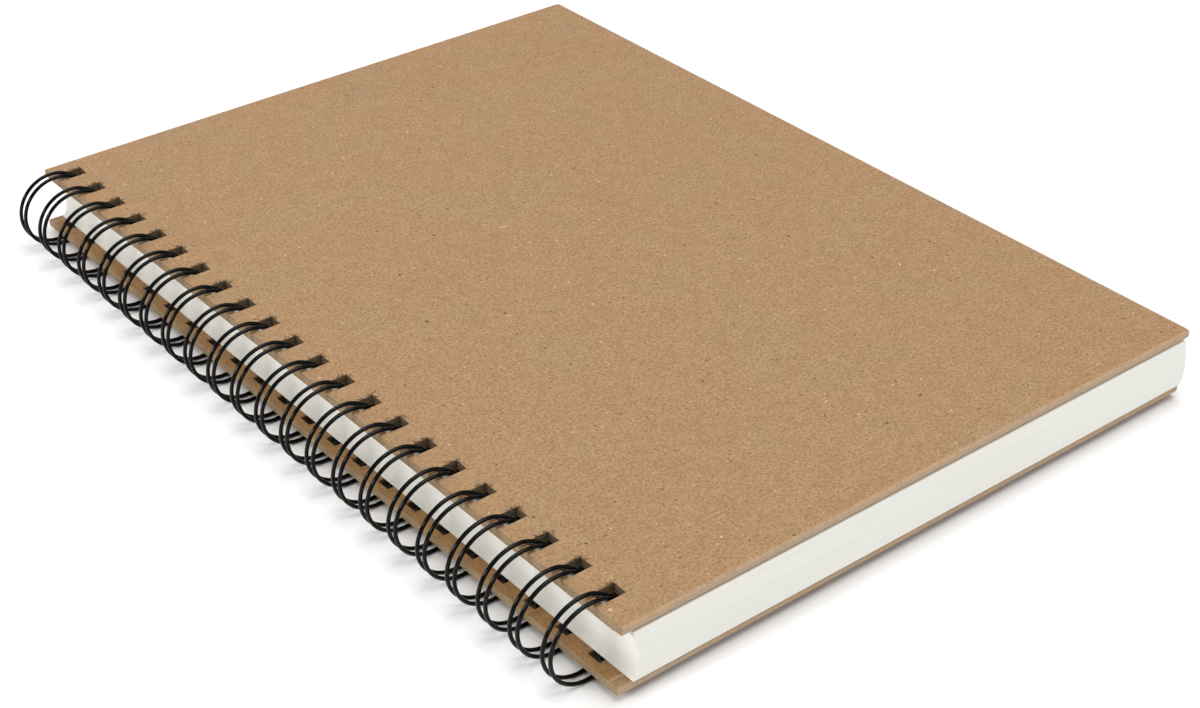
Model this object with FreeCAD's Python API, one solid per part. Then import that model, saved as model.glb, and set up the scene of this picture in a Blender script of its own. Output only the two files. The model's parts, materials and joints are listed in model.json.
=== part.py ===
import FreeCAD, Part
import math
import os

V = FreeCAD.Vector

# Twin-loop wire-bound sketchbook lying closed, spine along Y, tail edge at -Y, fore edge at +X.
# Millimetres. The origin is the middle of the footprint, on the surface the book lies on.

# ---- driving dimensions -------------------------------------------------------------------
cover_w = 210.5           # spine edge to fore edge
cover_h = 287.5           # tail to head
board_t = 2.0             # grey board core
wrap_t = 0.25             # kraft paper pasted round the board
lining_t = 0.2            # kraft paper pasted inside
turn_in = 16.0            # wrap folded onto the inside
lining_inset = 3.0
cover_corner_r = 1.5      # the cover's two fore corners
fold_r = 0.9              # the wrap's fold round a board edge
cover_offset = 0.8        # front cover further from the spine than the back cover
sheet_t = 0.185           # one sheet of drawing paper
sheets_per_gathering = 4
gatherings = 20
page_narrower = 5.5       # leaf narrower than a cover
page_shorter = 1.2        # leaf shorter than a cover
tail_overhang = 0.3       # leaves past the covers at the tail
belly = 2.05              # how far the middle leaves hang back along the loops
belly_skew = 0.58         # below 1 the deepest leaf is under the middle of the stack
pitch = 12.7              # two loops to the inch
first_hole = 12.2         # tail edge of the covers to the middle of the first hole
last_hole = 8.0           # least distance from the last one to the head edge
hole_w = 4.7              # along the spine
hole_margin = 2.2         # spine edge to hole on a cover
leaf_margin = 2.9         # and on a leaf
wire_d = 1.15
loop_proud = 1.4          # middle of the wire beyond a cover's outer face
leg_spread = 3.1          # between the two legs of one loop
nose_spread = 1.28        # between them where the loop is closed into its tip
bend_r = 0.9              # bend from a leg into the link to the next loop
cut_end = 1.6             # straight stub at either end of the wire

# ---- clearances ---------------------------------------------------------------------------
sheet_gap = 0.005         # air between sheets
wire_clear = 0.22         # wire to the side of a hole, as the piece turns
leaf_slack = 0.45         # the outermost leaves' holes past that
seam_clear = 0.1          # links to the back cover
tip_back = math.radians(18.0)      # closed tips stop short of the links
merge_from = math.radians(80.0)    # the legs begin to close here, above the front cover
merge_to = math.radians(46.0)      # and are closed here, in its holes

# ---- derived sizes ------------------------------------------------------------------------
page_w = cover_w - page_narrower
page_h = cover_h - page_shorter
loops = int((cover_h - first_hole - last_hole) / pitch) + 1
sheet_pitch = sheet_t + sheet_gap
sheets = sheets_per_gathering * gatherings
block_t = sheets * sheet_pitch + sheet_gap
cover_t = wrap_t + board_t + wrap_t + lining_t
book_t = 2 * cover_t + block_t
half_t = book_t / 2
wire_r = wire_d / 2
loop_r = half_t + loop_proud
inner_r = loop_r - wire_r - wire_clear
outer_r = loop_r + wire_r + wire_clear
axis_z = loop_r + wire_r
back_z = axis_z - half_t
block_z = back_z + cover_t
front_z = block_z + block_t

# a cover's hole runs from the wire's inside at the outer face to its outside at the inner face
hole_near = math.sqrt(inner_r ** 2 - half_t ** 2)
hole_far = math.sqrt(outer_r ** 2 - (half_t - cover_t) ** 2)
hole_l = hole_far - hole_near + cover_offset
leaf_near = math.sqrt(inner_r ** 2 - (half_t - cover_t) ** 2) - leaf_slack

# the loops' axis, placed so that the whole book is centred on X = 0
reach_left = -(loop_r + wire_r)
reach_right = max(hole_near - hole_margin + cover_w, leaf_near - leaf_margin + belly + page_w)
axis_x = -(reach_left + reach_right) / 2
tail_y = -(cover_h - tail_overhang) / 2
hole_ys = [tail_y + first_hole + i * pitch for i in range(loops)]

# links sit just under the back cover: where their tangent offset brings them to that height
link_reach = math.hypot(loop_r, bend_r)
link_angle = (-math.asin((half_t + wire_r + seam_clear) / link_reach)
              - math.atan2(bend_r, loop_r))


def rectangle(x0, x1, y0, y1, z):
    """A closed rectangular wire at height z."""
    corners = [V(x0, y0, z), V(x1, y0, z), V(x1, y1, z), V(x0, y1, z)]
    return Part.makePolygon(corners + corners[:1])


def punched_leaf(x0, x1, y0, y1, z):
    """One leaf with the row of binding holes along its spine edge at x0."""
    near = x0 + leaf_margin
    wires = [rectangle(x0, x1, y0, y1, z)]
    for y in hole_ys:
        wires.append(rectangle(near, near + hole_l, y - hole_w / 2, y + hole_w / 2, z))
    face = Part.Face([wires[0]])
    face = face.cut(Part.Compound([Part.Face(w) for w in wires[1:]])).Faces[0]
    return face.extrude(V(0, 0, sheet_t))


def punches(x0, z0, z1):
    """The row of rectangular punches through a cover, from z0 to z1, whose spine edge is at x0."""
    at = [V(x0 + hole_margin, y - hole_w / 2, z0) for y in hole_ys]
    return Part.Compound([Part.makeBox(hole_l, hole_w, z1 - z0, p) for p in at])


def folded_slab(x0, x1, y0, y1, z0, z1, corner, fold):
    """A slab cut square at the spine and rounded along its head, tail and fore edges."""
    slab = Part.makeBox(x1 - x0, y1 - y0, z1 - z0, V(x0, y0, z0))
    upright = [e for e in slab.Edges if all(abs(v.X - x1) < 1e-6 for v in e.Vertexes)
               and abs(e.Vertexes[0].Z - e.Vertexes[1].Z) > 1e-6]
    slab = slab.makeFillet(corner, upright)
    flat = [e for e in slab.Edges if e.BoundBox.ZLength < 1e-6 and e.BoundBox.XMax > x0 + 1e-6]
    return slab.makeFillet(fold, flat)


def cover():
    """Board, wrap and lining of the front cover, outer face up."""
    x0 = axis_x + hole_near - hole_margin
    x1 = x0 + cover_w
    y0, y1 = tail_y, tail_y + cover_h
    z0, z1 = front_z, front_z + cover_t
    paste_z = z0 + lining_t
    board_z = paste_z + wrap_t
    body = folded_slab(x0, x1, y0, y1, paste_z, z1, cover_corner_r, fold_r)
    board = folded_slab(x0, x1 - wrap_t, y0 + wrap_t, y1 - wrap_t, board_z, z1 - wrap_t,
                        cover_corner_r - wrap_t, fold_r - wrap_t)
    inside = Part.makeBox(cover_w - turn_in, cover_h - 2 * turn_in, wrap_t,
                          V(x0, y0 + turn_in, paste_z))
    panel = Part.makeBox(cover_w - lining_inset, cover_h - 2 * lining_inset, lining_t,
                         V(x0, y0 + lining_inset, z0))
    holes = punches(x0, z0 - cover_t, z1 + cover_t)
    wrap = body.cut(board).cut(inside).cut(holes)
    lining = panel.fuse(inside).removeSplitter().cut(holes)
    return {"board": board.cut(holes), "wrap": wrap, "lining": lining}


def as_back(shape):
    """The same piece turned over onto the back of the book."""
    turned = shape.mirror(V(0, 0, axis_z), V(0, 0, 1))
    turned.translate(V(-cover_offset, 0, 0))
    return turned


def gathering(n):
    """Gathering n, counted up from the back cover, each sheet its own solid."""
    made = []
    for k in range(sheets_per_gathering):
        i = n * sheets_per_gathering + k
        height = (i + 0.5) / sheets
        hang = belly * math.sin(math.pi * height ** belly_skew)
        x0 = axis_x + leaf_near - leaf_margin + hang
        z = block_z + sheet_gap + i * sheet_pitch
        made.append(punched_leaf(x0, x0 + page_w, tail_y - tail_overhang,
                                 tail_y - tail_overhang + page_h, z))
    return Part.Compound(made)


def on_loop(angle, y):
    """A point on the loops' cylinder, the angle from +X towards +Z."""
    return V(axis_x + loop_r * math.cos(angle), y, axis_z + loop_r * math.sin(angle))


def onward(angle):
    """The wire's direction there, from the links under the book round the spine."""
    return V(math.sin(angle), 0, -math.cos(angle))


def arc(a, m, b):
    """The arc from a through m to b."""
    return Part.Arc(a, m, b).toShape()


def ring_arc(a0, a1, y):
    """The arc round the loops' cylinder from angle a0 to a1."""
    return arc(on_loop(a0, y), on_loop((a0 + a1) / 2, y), on_loop(a1, y))


def merging_leg(a0, a1, y0, y1):
    """Two tangent arcs that carry a leg sideways from y0 to y1 as it runs round the loop."""
    start, end = on_loop(a0, y0), on_loop(a1, y1)
    chord = end - start
    both = onward(a0) + onward(a1)
    # reach of the tangents for which the two arcs meet midway, from a quadratic
    a = 2 * (onward(a0).dot(onward(a1)) - 1)
    b = -2 * chord.dot(both)
    reach = (-b - math.sqrt(b * b - 4 * a * chord.dot(chord))) / (2 * a)
    corners = [start + onward(a0) * reach, end - onward(a1) * reach]
    meet = (corners[0] + corners[1]) * 0.5
    made = []
    for near, corner, far in ((start, corners[0], meet), (meet, corners[1], end)):
        w = near.distanceToPoint(far) / (2 * reach)
        made.append(arc(near, (near + corner * (2 * w) + far) * (0.5 / (1 + w)), far))
    return made


def half_loop(y, side):
    """One leg of the loop at y, from the middle of its link to the start of its tip."""
    turn = 2 * math.pi
    start = link_angle
    leg_y = y + side * leg_spread / 2
    nose_y = y + side * nose_spread / 2
    foot = on_loop(start, leg_y)
    centre = foot + V(0, side * bend_r, 0)
    link_at = centre - onward(start) * bend_r
    elbow = centre - (V(0, side, 0) + onward(start)).normalize() * bend_r
    ends = y == hole_ys[0] and side < 0 or y == hole_ys[-1] and side > 0
    link_l = cut_end if ends else (pitch - leg_spread) / 2 - bend_r
    far = link_at + V(0, side * link_l, 0)
    return [Part.makeLine(far, link_at),
            arc(link_at, elbow, foot),
            ring_arc(start, merge_from - turn, leg_y),
            *merging_leg(merge_from - turn, merge_to - turn, leg_y, nose_y),
            ring_arc(merge_to - turn, start + tip_back - turn, nose_y)]


def loop_path(y):
    """The centreline of one loop, from half a link before it to half a link after."""
    out = half_loop(y, -1)
    back = half_loop(y, 1)
    tip = on_loop(link_angle + tip_back, y) + onward(link_angle + tip_back) * (nose_spread / 2)
    a = out[-1].Vertexes[-1].Point
    b = back[-1].Vertexes[-1].Point
    return out + [arc(a, tip, b)] + back[::-1]


def binding_wire():
    """One length of wire bent into all the loops and the links between them."""
    made = []
    for y in hole_ys:
        path = Part.Wire(Part.__sortEdges__(loop_path(y)))
        first = min((v.Point for v in path.Vertexes), key=lambda p: p.y)
        ring = Part.Wire(Part.Circle(first, V(0, 1, 0), wire_r).toShape())
        made.append(path.makePipeShell([ring], True, False))
    return made[0].multiFuse(made[1:]).removeSplitter()


def save(name, shape):
    """Writes one piece as a STEP file."""
    shape.exportStep("parts/" + name + ".step")


os.makedirs("parts", exist_ok=True)
for layer, shape in cover().items():
    save("front_cover_" + layer, shape)
    save("back_cover_" + layer, as_back(shape))
for number in range(gatherings):
    save("leaves_%02d" % (number + 1), gathering(number))
save("binding_wire", binding_wire())
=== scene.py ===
import json
import math

import bpy
import numpy as np
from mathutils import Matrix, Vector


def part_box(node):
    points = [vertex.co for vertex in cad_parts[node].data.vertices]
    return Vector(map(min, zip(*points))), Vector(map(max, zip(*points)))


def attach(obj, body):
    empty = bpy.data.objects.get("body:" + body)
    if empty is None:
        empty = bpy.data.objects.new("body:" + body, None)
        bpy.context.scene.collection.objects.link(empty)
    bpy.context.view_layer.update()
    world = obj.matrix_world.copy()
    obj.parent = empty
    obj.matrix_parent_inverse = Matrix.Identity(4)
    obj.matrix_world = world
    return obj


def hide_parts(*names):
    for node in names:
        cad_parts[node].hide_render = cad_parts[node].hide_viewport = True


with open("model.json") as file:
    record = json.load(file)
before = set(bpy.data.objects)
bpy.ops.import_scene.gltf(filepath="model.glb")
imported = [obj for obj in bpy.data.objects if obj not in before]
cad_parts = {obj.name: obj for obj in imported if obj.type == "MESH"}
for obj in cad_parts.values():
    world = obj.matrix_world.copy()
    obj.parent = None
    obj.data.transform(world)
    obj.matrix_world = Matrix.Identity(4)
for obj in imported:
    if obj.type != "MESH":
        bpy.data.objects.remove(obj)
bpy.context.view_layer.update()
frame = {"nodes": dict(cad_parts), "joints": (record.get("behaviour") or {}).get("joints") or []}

# ---- Grey board cores -----------------------------------------------------------------------
# Each cover is stiffened by a sheet of grey board, pulped waste paper pressed in thin plies.
# It shows only where it was cut: along the spine edge and in the walls of the punched holes.

MM = 1e-3
SPINE_CUT_X, HOLE_WALL_X = -98.5 * MM, -96.8 * MM      # clean cut edge; from here on the hole walls carry the full painted shade


def linear(code):
    """An sRGB hex colour as linear RGBA: each channel c becomes ((c + 0.055) / 1.055) ** 2.4,
    or c / 12.92 where c is below 0.04045."""
    c = np.array([int(code[i:i + 2], 16) for i in (1, 3, 5)]) / 255
    c = np.where(c > 0.04045, ((c + 0.055) / 1.055) ** 2.4, c / 12.92)
    return (*c.tolist(), 1.0)


def new_material(name):
    """An empty node material, its node tree, and a Principled shader joined to its output."""
    material = bpy.data.materials.new(name)
    material.use_nodes = True
    tree = material.node_tree
    tree.nodes.clear()
    shader = tree.nodes.new("ShaderNodeBsdfPrincipled")
    out = tree.nodes.new("ShaderNodeOutputMaterial")
    tree.links.new(shader.outputs["BSDF"], out.inputs["Surface"])
    return material, tree, shader


def node(tree, kind, settings=None, stops=(), out=0, **inputs):
    """Adds one node and returns its output socket. settings are the node's own properties and
    stops a ramp's (position, hex) pairs. Inputs are values or sockets, named by label with
    underscores for spaces, or by number as in_0."""
    made = tree.nodes.new("ShaderNode" + kind)
    for key, value in (settings or {}).items():
        setattr(made, key, value)
    for count, (place, code) in enumerate(stops):
        stop = made.color_ramp.elements[count] if count < 2 else made.color_ramp.elements.new(place)
        stop.position, stop.color = place, linear(code)
    for key, value in inputs.items():
        socket = made.inputs[int(key[3:]) if key.startswith("in_") else key.replace("_", " ")]
        if isinstance(value, bpy.types.NodeSocket):
            tree.links.new(value, socket)
        else:
            socket.default_value = value
    return made.outputs[out]


def raw_grey_board():
    """Grey board as the guillotine and the punch leave it: plies about 0.3 mm thick run along
    the cut as paler and darker streaks, torn a little, so the edge looks woolly and matt. The
    board is painted darker going in from the spine cut, and dark on the walls of the holes:
    painted shade, standing in for the shadow inside the holes."""
    material, tree, shader = new_material("grey board, guillotined and punched")
    place = node(tree, "TexCoord", out="Object")
    along = node(tree, "Mapping", Vector=place,
                 Scale=(1 / (18 * MM), 1 / (18 * MM), 1 / (0.37 * MM)))
    plies = node(tree, "TexNoise", Vector=along, Scale=1.0, Detail=4.0, Roughness=0.6)
    tufts = node(tree, "TexNoise", Vector=place, Scale=1 / (0.67 * MM), Detail=5.0, Roughness=0.7)
    streaks = node(tree, "ValToRGB", Fac=plies,
                   stops=((0.34, "#7d684e"), (0.66, "#bba484"), (0.5, "#9c8668")))
    woolly = node(tree, "ValToRGB", Fac=tufts, stops=((0.36, "#65533e"), (0.64, "#bba484")))
    colour = node(tree, "Mix", {"data_type": "RGBA"}, out=2, in_0=0.45, in_6=streaks, in_7=woolly)
    x = node(tree, "SeparateXYZ", Vector=place)
    # painted shade: darker going in from the spine cut, dark on the hole walls, for the shadow inside
    # the holes
    painted_hole_shade = node(tree, "MapRange", Value=x, From_Min=SPINE_CUT_X, From_Max=HOLE_WALL_X,
                To_Min=0.0, To_Max=0.6)
    colour = node(tree, "Mix", {"data_type": "RGBA"}, out=2,
                  in_0=painted_hole_shade, in_6=colour, in_7=linear("#211b15"))
    tree.links.new(colour, shader.inputs["Base Color"])
    shader.inputs["Roughness"].default_value = 0.95
    shader.inputs["Specular IOR Level"].default_value = 0.2
    rough = node(tree, "Bump", Height=tufts, Strength=1.0, Distance=0.15 * MM)
    tree.links.new(rough, shader.inputs["Normal"])
    return material


grey_board = raw_grey_board()
for name in ("front_cover_board", "back_cover_board"):
    frame["nodes"][name].data.materials.clear()
    frame["nodes"][name].data.materials.append(grey_board)

# ---- Kraft wraps and linings ----------------------------------------------------------------
# Unbleached kraft paper is pasted over the outside of each board and folded in at the head,
# tail and fore edge. A second kraft sheet is pasted inside, over the folded-in strips.

# painted sheen: between these distances in from the fore edge, head and tail the kraft is painted
# paler and greyer
FOLD_SHEEN_FROM, FOLD_SHEEN_TO = 0.1 * MM, 1.1 * MM     # in from the sheet's edge


def kraft_paper(name, tint, pale, dark, low, high):
    """Uncoated kraft off the machine: long fibres lie every way as fine pale hairs, over a soft
    cloud where the pulp settled thicker, with bark specks and pale chaff. The real hairs are
    0.03 mm wide and are drawn about ten times that, so that they show. low and high are the
    sheet's lowest and highest corners: within about a millimetre of its folds it is painted
    paler and greyer, a painted sheen where the folds catch the light."""
    material, tree, shader = new_material(name)
    place = node(tree, "TexCoord", out="Object")
    cloud = node(tree, "TexNoise", Vector=place, Scale=1 / (26 * MM), Detail=3.0, Roughness=0.6)
    flocks = node(tree, "TexNoise", Vector=place, Scale=1 / (3 * MM), Detail=3.0, Roughness=0.65)
    grain = node(tree, "TexNoise", Vector=place, Scale=1 / (0.87 * MM), Detail=3.0, Roughness=0.7)
    colour = node(tree, "ValToRGB", Fac=grain, stops=((0.3, dark), (0.7, pale), (0.5, tint)))
    hairs = 0.0
    for turn, width in ((17, 0.77 * MM), (-31, 0.69 * MM), (68, 0.74 * MM)):
        turned = node(tree, "Mapping", Vector=place, Rotation=(0, 0, math.radians(turn)))
        drawn = node(tree, "Mapping", Vector=turned, Scale=(0.16 / width, 1 / width, 0.5 / width))
        hair = node(tree, "TexNoise", Vector=drawn, Scale=1.0, Detail=2.0, Roughness=0.5)
        hairs = node(tree, "Math", {"operation": "MAXIMUM"}, in_0=hairs, in_1=hair)
    lit = node(tree, "MapRange", Value=hairs, From_Min=0.60, From_Max=0.76, To_Min=0.0, To_Max=0.3)
    colour = node(tree, "Mix", {"data_type": "RGBA"}, out=2,
                  in_0=lit, in_6=colour, in_7=linear(pale))
    thick = node(tree, "MapRange", Value=flocks, From_Min=0.36, From_Max=0.62,
                 To_Min=0.26, To_Max=0.0)
    colour = node(tree, "Mix", {"data_type": "RGBA"}, out=2,
                  in_0=thick, in_6=colour, in_7=linear(dark))
    warm = node(tree, "ValToRGB", Fac=cloud, stops=((0.36, "#fff1e6"), (0.64, "#f6ffff")))
    colour = node(tree, "Mix", {"data_type": "RGBA", "blend_type": "MULTIPLY"}, out=2,
                  in_0=0.35, in_6=colour, in_7=warm)
    # bark specks large and small, then pale chaff: spacing, the noise at which a speck starts and
    # is full, and how much it covers. The last three also shift the pattern, so that no two agree.
    for apart, start, full, most, code in ((1.8 * MM, 0.757, 0.775, 0.75, "#4a321c"),
                                           (0.8 * MM, 0.715, 0.76, 0.45, "#6b4c2d"),
                                           (1.4 * MM, 0.766, 0.785, 0.6, "#dcc39b")):
        shifted = node(tree, "Mapping", Vector=place, Location=(start, full, most))
        speck = node(tree, "TexNoise", Vector=shifted, Scale=1 / apart, Detail=1.0, Roughness=0.4)
        cover = node(tree, "MapRange", Value=speck, From_Min=start, From_Max=full,
                     To_Min=0.0, To_Max=most)
        colour = node(tree, "Mix", {"data_type": "RGBA"}, out=2,
                      in_0=cover, in_6=colour, in_7=linear(code))
    x = node(tree, "SeparateXYZ", Vector=place)
    y = node(tree, "SeparateXYZ", out=1, Vector=place)
    nearest = node(tree, "Math", {"operation": "SUBTRACT"}, in_0=high[0], in_1=x)
    for far, near in ((high[1], y), (y, low[1])):
        edge = node(tree, "Math", {"operation": "SUBTRACT"}, in_0=far, in_1=near)
        nearest = node(tree, "Math", {"operation": "MINIMUM"}, in_0=nearest, in_1=edge)
    # painted sheen: paler and greyer near the fore edge, head and tail, standing in for the grazing
    # reflection on the folds
    wear_and_sheen = node(tree, "MapRange", Value=nearest, From_Min=FOLD_SHEEN_FROM, From_Max=FOLD_SHEEN_TO,
                  To_Min=0.5, To_Max=0.0)
    colour = node(tree, "Mix", {"data_type": "RGBA"}, out=2,
                  in_0=wear_and_sheen, in_6=colour, in_7=linear("#c4ad92"))
    tree.links.new(colour, shader.inputs["Base Color"])
    shader.inputs["Roughness"].default_value = 0.75
    shader.inputs["Specular IOR Level"].default_value = 0.4
    shader.inputs["Sheen Weight"].default_value = 0.08
    shader.inputs["Sheen Roughness"].default_value = 0.5
    raised = node(tree, "Math", {"operation": "ADD"}, in_0=grain, in_1=hairs)
    tooth = node(tree, "Bump", Height=raised, Strength=1.0, Distance=0.06 * MM)
    tree.links.new(tooth, shader.inputs["Normal"])
    return material


for side in ("front", "back"):
    for layer, work, shades in (("wrap", "pasted and folded", ("#a17f59", "#b19069", "#7d5b3c")),
                                ("lining", "pasted inside", ("#9e7747", "#ae8756", "#856038"))):
        sheet = side + "_cover_" + layer
        finish = "kraft paper, %s, %s cover" % (work, side)
        kraft = kraft_paper(finish, *shades, *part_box(sheet))
        frame["nodes"][sheet].data.materials.clear()
        frame["nodes"][sheet].data.materials.append(kraft)

# ---- Leaves ---------------------------------------------------------------------------------
# Eighty sheets of ivory drawing paper, cut square in one stack and punched in lifts. They lie
# loose on the loops, so their spine edges follow the wire's curve.

PITCH, LOOPS = 12.7 * MM, 22
FIRST_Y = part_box("front_cover_wrap")[0][1] + 12.2 * MM     # the loop nearest the tail
HALF_HOLE, FADE = 2.36 * MM, 0.04 * MM                     # loop to the side wall of its hole
HOLES_X = -92.8 * MM, -85.2 * MM                           # from spine edges to past the holes
TAIL_Y = -139 * MM                                         # clear of the tail edges


def drawing_paper():
    """Uncoated ivory paper, guillotined. Each cut edge takes the light a little differently,
    which shows as hair-thin lines drawn two sheets apart, and on the flat a faint tooth. The
    side walls of the punched holes, HALF_HOLE either way of a loop, are painted dark: painted
    shade for the shadow inside the holes."""
    material, tree, shader = new_material("ivory drawing paper, guillotined")
    place = node(tree, "TexCoord", out="Object")
    along = node(tree, "Mapping", Vector=place,
                 Scale=(1 / (71 * MM), 1 / (71 * MM), 1 / (0.38 * MM)))
    sheets = node(tree, "TexNoise", Vector=along, Scale=1.0, Detail=2.0, Roughness=0.6)
    lifts = node(tree, "Mapping", Vector=place,
                 Scale=(1 / (110 * MM), 1 / (110 * MM), 1 / (2.4 * MM)))
    drift = node(tree, "TexNoise", Vector=lifts, Scale=1.0, Detail=2.0, Roughness=0.5)
    tooth = node(tree, "TexNoise", Vector=place, Scale=1 / (0.63 * MM), Detail=3.0, Roughness=0.6)
    colour = node(tree, "ValToRGB", Fac=sheets,
                  stops=((0.3, "#e9e8e0"), (0.7, "#efefe9"), (0.5, "#edece5")))
    tired = node(tree, "MapRange", Value=drift, From_Min=0.36, From_Max=0.6, To_Min=0.08, To_Max=0.0)
    colour = node(tree, "Mix", {"data_type": "RGBA"}, out=2,
                  in_0=tired, in_6=colour, in_7=linear("#dad5c6"))
    x = node(tree, "SeparateXYZ", Vector=place)
    y = node(tree, "SeparateXYZ", out=1, Vector=place)
    # painted shade: the paper is painted dark on the side walls of the holes, HALF_HOLE either way of
    # each loop
    from_first = node(tree, "Math", {"operation": "SUBTRACT"}, in_0=y, in_1=FIRST_Y)
    aside = node(tree, "Math", {"operation": "PINGPONG"}, in_0=from_first, in_1=PITCH / 2)
    paper_hole_shade = node(tree, "MapRange", Value=aside, From_Min=HALF_HOLE, From_Max=HALF_HOLE + FADE,
                To_Min=0.8, To_Max=0.0)
    # painted shade on the hole walls only: none at the spine edges, past the holes and at the tail
    for way, clean, full in ((x, HOLES_X[0] - 0.3 * MM, HOLES_X[0]),
                             (x, HOLES_X[1] + 0.1 * MM, HOLES_X[1]),
                             (y, TAIL_Y, TAIL_Y + 0.5 * MM)):
        within = node(tree, "MapRange", Value=way, From_Min=clean, From_Max=full,
                      To_Min=0.0, To_Max=1.0)
        paper_hole_shade = node(tree, "Math", {"operation": "MULTIPLY"}, in_0=paper_hole_shade, in_1=within)
    colour = node(tree, "Mix", {"data_type": "RGBA"}, out=2,
                  in_0=paper_hole_shade, in_6=colour, in_7=linear("#2a251d"))
    tree.links.new(colour, shader.inputs["Base Color"])
    shader.inputs["Roughness"].default_value = 0.9
    shader.inputs["Specular IOR Level"].default_value = 0.25
    relief = node(tree, "Bump", Height=tooth, Strength=1.0, Distance=0.02 * MM)
    tree.links.new(relief, shader.inputs["Normal"])
    return material


ivory_paper = drawing_paper()
for name, leaves in frame["nodes"].items():
    if name.startswith("leaves_"):
        leaves.data.materials.clear()
        leaves.data.materials.append(ivory_paper)

# ---- Twin-loop binding wire -----------------------------------------------------------------
# One length of steel wire with a black nylon coat, bent into 22 double loops and closed in a
# press. Each loop runs from its links under the back cover round the spine to a closed tip.

AXIS_X, _, AXIS_Z = frame["joints"][0]["pos_m"]     # every piece turns about the loops' middle
WIRE_R = 0.575 * MM
LOOP_R = AXIS_Z - WIRE_R                            # so that the loops reach down to Z = 0
LEG, NOSE = 1.55 * MM, 0.64 * MM                    # half the spread of the legs and of the tip
BEND, STUB = 0.9 * MM, 1.6 * MM
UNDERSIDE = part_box("back_cover_wrap")[0][2]
LINK_DROP = AXIS_Z - UNDERSIDE + WIRE_R + 0.1 * MM  # the links pass just under the back cover
FOOT = -math.asin(LINK_DROP / math.hypot(LOOP_R, BEND)) - math.atan2(BEND, LOOP_R)
MERGE = math.radians(80) - 2 * math.pi, math.radians(46) - 2 * math.pi
TIP = FOOT + math.radians(18) - 2 * math.pi
LINK_RINGS, ROUND = 4, 14                           # rings along half a link, sides of the wire


def half_loop():
    """One leg as rows of (angle, y, along): points of the loops' cylinder at that angle, moved
    along its tangent. The runs are link, elbow, leg, merging leg, nose and half the tip, and
    the merging leg closes by the smooth step 3 s^2 - 2 s^3."""
    link = np.linspace(PITCH / 2, LEG + BEND, LINK_RINGS + 1)[:-1]
    bend = np.linspace(0, math.pi / 2, 9)[:-1]
    leg = np.linspace(FOOT, MERGE[0], 80)[:-1]
    s = np.linspace(0, 1, 17)[:-1]
    nose = np.linspace(MERGE[1], TIP, 30)[:-1]
    half = np.linspace(0, math.pi / 2, 7)
    runs = ((FOOT, link, -BEND),
            (FOOT, LEG + BEND - BEND * np.sin(bend), -BEND * np.cos(bend)),
            (leg, LEG, 0.0),
            (MERGE[0] + (MERGE[1] - MERGE[0]) * s, LEG + (NOSE - LEG) * s * s * (3 - 2 * s), 0.0),
            (nose, NOSE, 0.0),
            (TIP, NOSE * np.cos(half), NOSE * np.sin(half)))
    return np.vstack([np.column_stack(np.broadcast_arrays(*run)) for run in runs])


def whole_wire():
    """The wire as rows of (angle, y, along): the half loop and its mirror, 22 times over, with
    a straight stub in place of the first and the last link."""
    half = half_loop()
    loop = np.vstack([half * (1, -1, 1), half[-2::-1]])
    every = np.tile(loop, (LOOPS, 1, 1))
    every[:, :, 1] += (FIRST_Y + PITCH * np.arange(LOOPS))[:, None]
    stub = np.linspace(STUB, 0, LINK_RINGS + 1)[:-1]
    every[0, :LINK_RINGS, 1] = every[0, LINK_RINGS, 1] - stub
    every[-1, -LINK_RINGS:, 1] = every[-1, -LINK_RINGS - 1, 1] + stub[::-1]
    rows = every.reshape(-1, 3)
    return rows[np.r_[True, np.abs(np.diff(rows, axis=0)).sum(1) > 1e-9]]


def tubes(name, centre, across, radius):
    """Round tubes carried along centre, an array (tubes, rings, 3): each ring is centre +
    radius (cos f across + sin f tangent x across), and a point 0.3 radius beyond closes either
    end. radius is (rings, sides), so that a tube can taper."""
    count, rings, _ = centre.shape
    sides = radius.shape[1]
    tangent = np.gradient(centre, axis=1)
    tangent /= np.linalg.norm(tangent, axis=2, keepdims=True)
    across = across - (across * tangent).sum(2, keepdims=True) * tangent
    across /= np.linalg.norm(across, axis=2, keepdims=True)
    f = np.linspace(0, 2 * math.pi, sides, endpoint=False)[:, None]
    turn = np.cos(f) * across[:, :, None] + np.sin(f) * np.cross(tangent, across)[:, :, None]
    points = centre[:, :, None] + radius[None, :, :, None] * turn
    beyond = 0.3 * np.array([-1, 1])[:, None] * radius[[0, -1], :1]
    ends = centre[:, [0, -1]] + beyond * tangent[:, [0, -1]]
    points = np.concatenate([points.reshape(count, -1, 3), ends], axis=1)
    i, j = np.meshgrid(np.arange(rings - 1) * sides, np.arange(sides), indexing="ij")
    k = (j + 1) % sides
    quads = np.stack([i + j, i + k, i + sides + k, i + sides + j], -1).reshape(-1, 4)
    j, k, last = j[0], k[0], rings * sides
    caps = np.vstack([np.column_stack([k, j, np.full(sides, last)]),
                      np.column_stack([last - sides + j, last - sides + k, np.full(sides, last + 1)])])
    step = (last + 2) * np.arange(count)[:, None, None]
    mesh = bpy.data.meshes.new(name)
    mesh.from_pydata(points.reshape(-1, 3).tolist(), [],
                     (quads + step).reshape(-1, 4).tolist() + (caps + step).reshape(-1, 3).tolist())
    mesh.polygons.foreach_set("use_smooth", np.ones(len(mesh.polygons), bool))
    mesh.update()
    piece = bpy.data.objects.new(name, mesh)
    bpy.context.scene.collection.objects.link(piece)
    return piece


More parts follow.
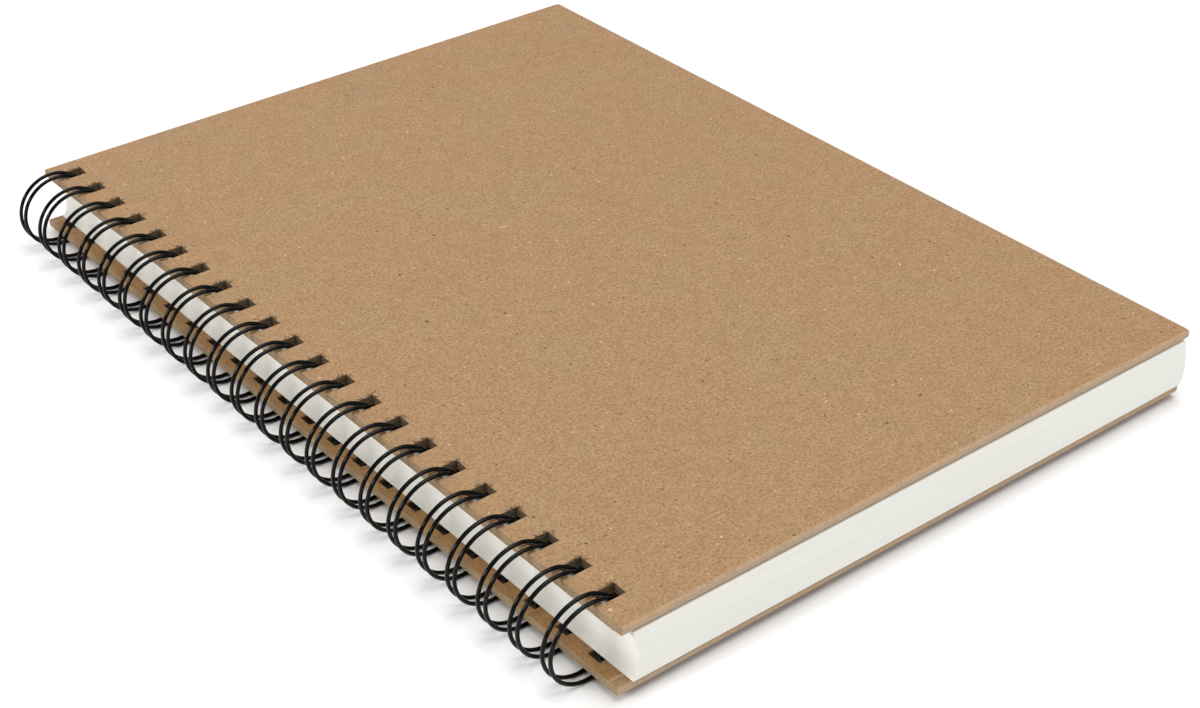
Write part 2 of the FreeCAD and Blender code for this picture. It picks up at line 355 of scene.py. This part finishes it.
def black_nylon():
    """Black nylon, fused on in powder: near black and glossy, with a faint orange-peel swell
    about a millimetre across that makes the highlight waver, and duller rubbed patches."""
    material, tree, shader = new_material("black nylon, fused on steel wire")
    place = node(tree, "TexCoord", out="Object")
    swell = node(tree, "TexNoise", Vector=place, Scale=1 / (1.1 * MM), Detail=2.0, Roughness=0.5)
    wear_and_sheen = node(tree, "TexNoise", Vector=place, Scale=1 / (4.2 * MM), Detail=3.0, Roughness=0.6)
    colour = node(tree, "ValToRGB", Fac=wear_and_sheen, stops=((0.35, "#020202"), (0.7, "#080706")))
    gloss = node(tree, "MapRange", Value=wear_and_sheen, From_Min=0.3, From_Max=0.7, To_Min=0.08, To_Max=0.15)
    tree.links.new(colour, shader.inputs["Base Color"])
    tree.links.new(gloss, shader.inputs["Roughness"])
    shader.inputs["IOR"].default_value = 1.42
    shader.inputs["Specular IOR Level"].default_value = 0.22
    peel = node(tree, "Bump", Height=swell, Strength=1.0, Distance=0.03 * MM)
    tree.links.new(peel, shader.inputs["Normal"])
    return material


angle, y, along = whole_wire().T[:, :, None]
outward = np.hstack([np.cos(angle), 0 * angle, np.sin(angle)])
onward = np.hstack([np.sin(angle), 0 * angle, -np.cos(angle)])
axis = np.hstack([0 * angle + AXIS_X, y, 0 * angle + AXIS_Z])
line = axis + LOOP_R * outward + along * onward
wire = tubes("twin_loop_wire", line[None], outward[None], np.full((len(line), ROUND), WIRE_R))
wire.data.materials.append(black_nylon())
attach(wire, "back_and_wire")
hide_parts("binding_wire")

# ---- Punch burr -----------------------------------------------------------------------------
# The punch tears the kraft and the board as it leaves them, so short fibres of both stand up
# along the head side of each hole in the front cover and round its fore corner.

HOLE_W, HOLE_L = 4.7 * MM, 7.137 * MM
MARGIN = 2.2 * MM                 # spine edge to hole
HAIR_R, HAIR_L = 0.07 * MM, 1.5 * MM
FIBRES, AT_CORNER = 26, 0.3       # fibres to a hole, and the share of them at its fore corner
ROOT_DEPTH = 0.1 * MM
HAIR_RINGS, HAIR_SIDES = 6, 3
HAIR_TIP = 0.35                   # a tip's thickness as a share of its root's


def burr(name, spine_x, z, seed):
    """Fibres rooted along the head rim of each hole and round its fore corner. Each is the
    parabola root + s way + s^2 curl for s from 0 to 1, tapering towards its tip."""
    dice = np.random.default_rng(seed)
    n = LOOPS * FIBRES
    hole_y = np.repeat(FIRST_Y + PITCH * np.arange(LOOPS), FIBRES)
    u = dice.random(n) ** 0.6
    fore = dice.random(n) < AT_CORNER
    # along the head rim but for its first third, closer together fore, or down the fore rim
    x = spine_x + MARGIN + HOLE_L * np.where(fore, 1.0, 0.35 + 0.65 * u)
    y = hole_y + HOLE_W * np.where(fore, 0.5 - 0.4 * u, 0.5)
    root = np.column_stack([x, y, z - ROOT_DEPTH * dice.random(n)])
    length = HAIR_L * dice.uniform(0.35, 1.0, n)[:, None]
    way = dice.normal(0, 0.6, (n, 3)) + np.column_stack([fore * 0.5, ~fore * 0.6, np.full(n, 0.25)])
    way[:, 2] = np.abs(way[:, 2]) * 0.45 + 0.1
    way *= length / np.linalg.norm(way, axis=1, keepdims=True)
    curl = dice.normal(0, 0.45, (n, 3)) * length
    curl[:, 2] = -0.8 * way[:, 2]
    s = np.linspace(0, 1, HAIR_RINGS)[None, :, None]
    centre = root[:, None] + s * way[:, None] + s * s * curl[:, None]
    taper = np.linspace(1, HAIR_TIP, HAIR_RINGS)[:, None] * np.full((1, HAIR_SIDES), HAIR_R)
    return tubes(name, centre, np.broadcast_to((0.3, 0.2, 0.93), centre.shape), taper)


def torn_fibre(name, pale, dark):
    """Torn paper fibre: matt, each hair its own shade between the pale and the dark colour given."""
    material, tree, shader = new_material(name)
    place = node(tree, "TexCoord", out="Object")
    shade = node(tree, "TexNoise", Vector=place, Scale=1 / (1.1 * MM), Detail=2.0)
    colour = node(tree, "ValToRGB", Fac=shade, stops=((0.38, dark), (0.62, pale)))
    tree.links.new(colour, shader.inputs["Base Color"])
    shader.inputs["Roughness"].default_value = 0.95
    return material


front_low, front_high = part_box("front_cover_wrap")
front_burr = burr("front_punch_burr", front_low[0], front_high[2], 7)
# real torn fibres, coloured dark brown to near black, far darker than the kraft and board: that
# darkness is painted shade for the shadowed fuzz along the hole rims
front_burr.data.materials.append(torn_fibre("kraft and board fibre, torn, painted dark as shade", "#6b573f", "#1d1812"))
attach(front_burr, "front_cover")

# ---- Floor, light and camera ----------------------------------------------------------------
# The book lies on a sweep of white background paper, under one large soft box that gives the
# covers their even light. Smaller soft boxes at the tail, head and spine open up the shadows.

FLOOR_Z, REACH = -0.05 * MM, 4.0
floor_mesh = bpy.data.meshes.new("white_sweep")
corners = [(x * REACH, y * REACH, FLOOR_Z) for x, y in ((-1, -1), (1, -1), (1, 1), (-1, 1))]
floor_mesh.from_pydata(corners, [], [(0, 1, 2, 3)])
floor = bpy.data.objects.new("white_sweep", floor_mesh)
bpy.context.scene.collection.objects.link(floor)
sweep, tree, shader = new_material("white background paper")
place = node(tree, "TexCoord", out="Object")
pulp = node(tree, "TexNoise", Vector=place, Scale=1 / (50 * MM), Detail=2.0)
white = node(tree, "ValToRGB", Fac=pulp, stops=((0.3, "#f2f2f2"), (0.7, "#f5f5f5")))
tree.links.new(white, shader.inputs["Base Color"])
shader.inputs["Roughness"].default_value = 0.95
shader.inputs["Specular IOR Level"].default_value = 0.1
floor_mesh.materials.append(sweep)

world = bpy.data.worlds.new("white studio")
bpy.context.scene.world = world
world.use_nodes = True
world.node_tree.nodes["Background"].inputs["Color"].default_value = linear("#ffffff")
world.node_tree.nodes["Background"].inputs["Strength"].default_value = 0.32


def soft_box(name, place, width, height, watts):
    """A rectangular lamp at place, facing the book. It turns by its tilt from straight down
    about X and then by its bearing about Z."""
    lamp = bpy.data.lights.new(name, "AREA")
    lamp.shape = "RECTANGLE"
    lamp.size, lamp.size_y, lamp.energy = width, height, watts
    made = bpy.data.objects.new(name, lamp)
    bpy.context.scene.collection.objects.link(made)
    made.location = place
    x, y, z = place
    made.rotation_euler = (math.atan2(math.hypot(x, y), z), 0, math.atan2(x, -y))


soft_box("key_soft_box", (0.2, -0.15, 1.3), 1.2, 1.0, 15.3)
soft_box("tail_fill", (0.2, -1.2, 0.5), 1.1, 0.6, 3.0)
soft_box("head_fill", (-0.1, 1.0, 0.5), 1.0, 0.5, 2.6)
soft_box("spine_fill", (-1.25, 0.1, 0.6), 0.5, 0.3, 8)

camera = bpy.data.cameras.new("camera")
camera.lens, camera.sensor_width = 65.137, 36
camera.shift_x, camera.shift_y = 0.04738, -0.01338
camera.clip_start, camera.clip_end = 0.01, 20
eye = bpy.data.objects.new("camera", camera)
bpy.context.scene.collection.objects.link(eye)
eye.location = (-0.354456, -0.436773, 0.351955)
eye.rotation_euler = (math.radians(57.36594), math.radians(-0.11578), math.radians(-38.29567))
bpy.context.scene.camera = eye
bpy.context.scene.view_settings.view_transform = "Standard"
